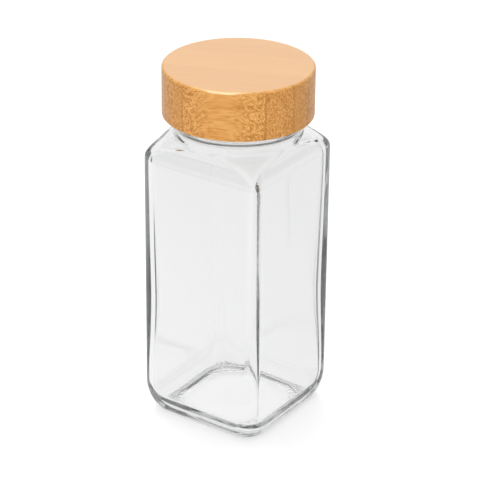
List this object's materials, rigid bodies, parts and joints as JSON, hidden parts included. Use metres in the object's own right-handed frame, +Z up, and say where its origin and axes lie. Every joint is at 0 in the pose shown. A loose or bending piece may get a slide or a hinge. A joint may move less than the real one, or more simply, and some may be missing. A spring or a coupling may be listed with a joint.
{
  "type": "spice jar",
  "caption": "Square clear glass spice jar with rounded shoulders and a round threaded neck, closed by a laminated bamboo screw cap.",
  "frame": {"origin": "centre of the base, on the plane that the jar stands on", "axes": "+Z up along the jar's and the cap's common axis; +X and +Y square to the flat sides of the body"},
  "size_m": [0.0476, 0.0476, 0.1197],
  "materials": {
    "clear_glass": "clear flint glass, polished",
    "shaker_plastic": "milky, smooth",
    "seal_foam": "matt closed-cell foam",
    "liner_plastic": "natural, semi-matt",
    "bamboo": "laminated strips, satin lacquer"
  },
  "bodies": {
    "jar": {"jar_body": "clear_glass", "shaker_insert": "shaker_plastic"},
    "seal": {"seal_disc": "seal_foam"},
    "cap": {"threaded_liner": "liner_plastic", "bamboo_cap": "bamboo"}
  },
  "joints": [
    {"name": "cap_rise", "type": "slide", "parent": "jar", "child": "seal", "axis": [0, 0, 1], "range_m": [0, 0.0128]},
    {"name": "cap_turn", "type": "hinge", "parent": "seal", "child": "cap", "pos_m": [0, 0, 0.1121], "axis": [0, 0, 1], "range_deg": [0, 1080]}
  ],
  "couplings": [
    {"joint": "cap_rise", "follows": "cap_turn", "m_per_rad": 0.00067322}
  ]
}
